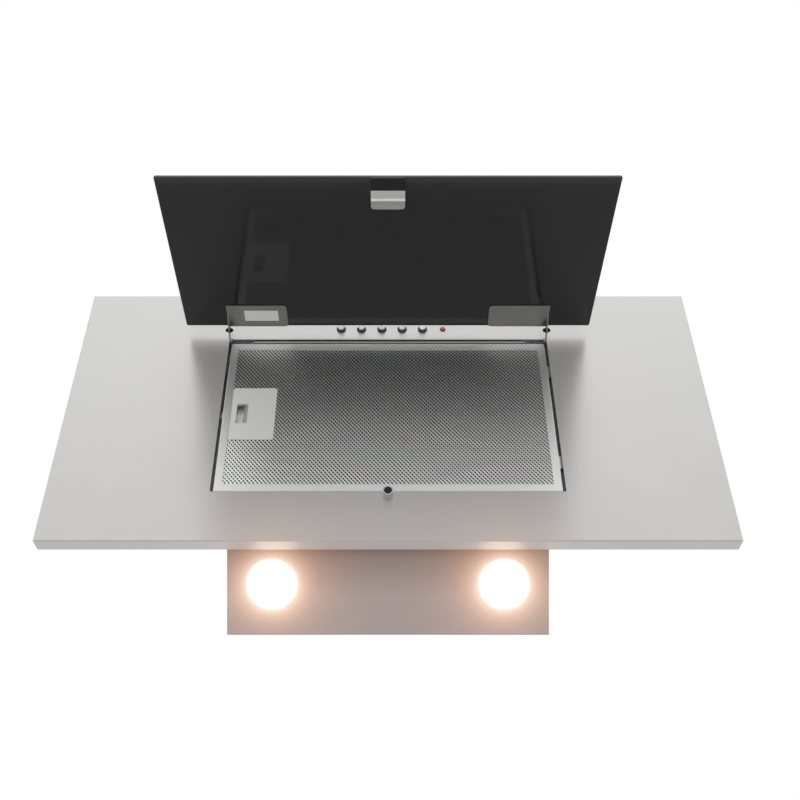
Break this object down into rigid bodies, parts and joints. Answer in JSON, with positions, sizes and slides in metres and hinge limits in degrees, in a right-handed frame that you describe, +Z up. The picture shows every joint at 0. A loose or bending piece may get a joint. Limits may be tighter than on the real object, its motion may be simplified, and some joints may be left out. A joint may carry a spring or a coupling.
{
  "type": "wall cooker hood",
  "caption": "Inclined wall-mounted cooker hood: leaning steel panel, swing-open black glass cover over a grease filter, push buttons, lamp plate, blower and telescoping duct cover.",
  "frame": {"origin": "on the wall plane, at the centre of the four wall holes", "axes": "+X to the right as seen from the room, +Y into the wall, +Z up"},
  "size_m": [0.9, 0.5869, 0.8064],
  "materials": {
    "panel_steel": "brushed across the panel",
    "body_steel": "fine brushed sheet",
    "galvanised_steel": "dull zinc",
    "polished_steel": "polished",
    "bracket_steel": "bare rolled steel",
    "black_glass": "gloss black, opaque",
    "filter_aluminium": "satin",
    "core_aluminium": "layered expanded mesh",
    "white_label": "matt film",
    "dark_plastic": "matt black",
    "grey_plastic": "matt grey",
    "red_lens": "clear red moulding",
    "magnet": "dark sintered",
    "motor_paint": "painted",
    "lamp_glass": "frosted, lit",
    "bulb_glass": "clear, lit"
  },
  "bodies": {
    "hood": {"front_panel": "panel_steel", "filter_seat": "galvanised_steel", "lamp_plate": "panel_steel", "back_plate": "body_steel", "side_panel_left": "body_steel", "side_panel_right": "body_steel", "shoulder_panel": "body_steel", "top_plate": "body_steel", "lamp_ring_left": "polished_steel", "lamp_ring_right": "polished_steel", "lamp_lens_left": "lamp_glass", "lamp_lens_right": "lamp_glass", "lamp_can_left": "filter_aluminium", "lamp_can_right": "filter_aluminium", "lamp_bulb_left": "bulb_glass", "lamp_bulb_right": "bulb_glass", "hinge_plate_left": "galvanised_steel", "hinge_plate_right": "galvanised_steel", "hinge_pins": "bracket_steel", "catch_post": "polished_steel", "catch_magnet": "magnet", "button_bezels": "dark_plastic", "indicator_lens": "red_lens", "switch_block": "dark_plastic", "outlet_collar": "galvanised_steel", "collar_screws": "polished_steel", "flap_rod": "bracket_steel", "scroll_half_left": "galvanised_steel", "scroll_half_right": "galvanised_steel", "motor": "motor_paint", "motor_mount": "galvanised_steel", "capacitor": "filter_aluminium", "lamp_transformer": "dark_plastic", "terminal_box": "grey_plastic", "terminal_cover": "grey_plastic", "cable_gland": "dark_plastic", "duct_cover_lower": "body_steel"},
    "door": {"door_glass": "black_glass", "door_bracket_left": "bracket_steel", "door_bracket_right": "bracket_steel", "catch_strike": "bracket_steel", "catch_pull": "polished_steel", "blank_label": "white_label"},
    "filter": {"filter_frame": "filter_aluminium", "filter_mesh_front": "filter_aluminium", "filter_core": "core_aluminium", "filter_mesh_rear": "filter_aluminium", "latch_plate": "filter_aluminium"},
    "latch": {"latch_slider": "filter_aluminium"},
    "rotor": {"impeller": "galvanised_steel", "motor_shaft": "bracket_steel"},
    "flap_front": {"damper_flap_front": "filter_aluminium"},
    "flap_back": {"damper_flap_back": "filter_aluminium"},
    "upper_cover": {"duct_cover_upper": "body_steel", "wall_bracket": "galvanised_steel"},
    "button_1": {"push_button_1": "polished_steel"},
    "button_2": {"push_button_2": "polished_steel"},
    "button_3": {"push_button_3": "polished_steel"},
    "button_4": {"push_button_4": "polished_steel"},
    "button_5": {"push_button_5": "polished_steel"}
  },
  "joints": [
    {"name": "door_hinge", "type": "hinge", "parent": "hood", "child": "door", "pos_m": [0, -0.39139, 0.01048], "axis": [-1, 0, 0], "range_deg": [-90, 0]},
    {"name": "filter_tilt", "type": "hinge", "parent": "hood", "child": "filter", "pos_m": [0.228, -0.28162, -0.06681], "axis": [0, -0.781, 0.6246], "range_deg": [0, 30]},
    {"name": "latch_slide", "type": "slide", "parent": "filter", "child": "latch", "axis": [1, 0, 0], "range_m": [0, 0.005], "stiffness_N_per_m": 200},
    {"name": "fan_spin", "type": "hinge", "parent": "hood", "child": "rotor", "pos_m": [0, -0.115, 0], "axis": [1, 0, 0], "continuous": true},
    {"name": "front_flap_swing", "type": "hinge", "parent": "hood", "child": "flap_front", "pos_m": [0, -0.115, 0.149], "axis": [-1, 0, 0], "range_deg": [0, 80]},
    {"name": "back_flap_swing", "type": "hinge", "parent": "hood", "child": "flap_back", "pos_m": [0, -0.115, 0.149], "axis": [1, 0, 0], "range_deg": [0, 80]},
    {"name": "cover_slide", "type": "slide", "parent": "hood", "child": "upper_cover", "axis": [0, 0, 1], "range_m": [0, 0.3]},
    {"name": "press_1", "type": "slide", "parent": "hood", "child": "button_1", "axis": [0, 0.6246, 0.781], "range_m": [0, 0.003], "stiffness_N_per_m": 300},
    {"name": "press_2", "type": "slide", "parent": "hood", "child": "button_2", "axis": [0, 0.6246, 0.781], "range_m": [0, 0.003], "stiffness_N_per_m": 300},
    {"name": "press_3", "type": "slide", "parent": "hood", "child": "button_3", "axis": [0, 0.6246, 0.781], "range_m": [0, 0.003], "stiffness_N_per_m": 300},
    {"name": "press_4", "type": "slide", "parent": "hood", "child": "button_4", "axis": [0, 0.6246, 0.781], "range_m": [0, 0.003], "stiffness_N_per_m": 300},
    {"name": "press_5", "type": "slide", "parent": "hood", "child": "button_5", "axis": [0, 0.6246, 0.781], "range_m": [0, 0.003], "stiffness_N_per_m": 300}
  ]
}
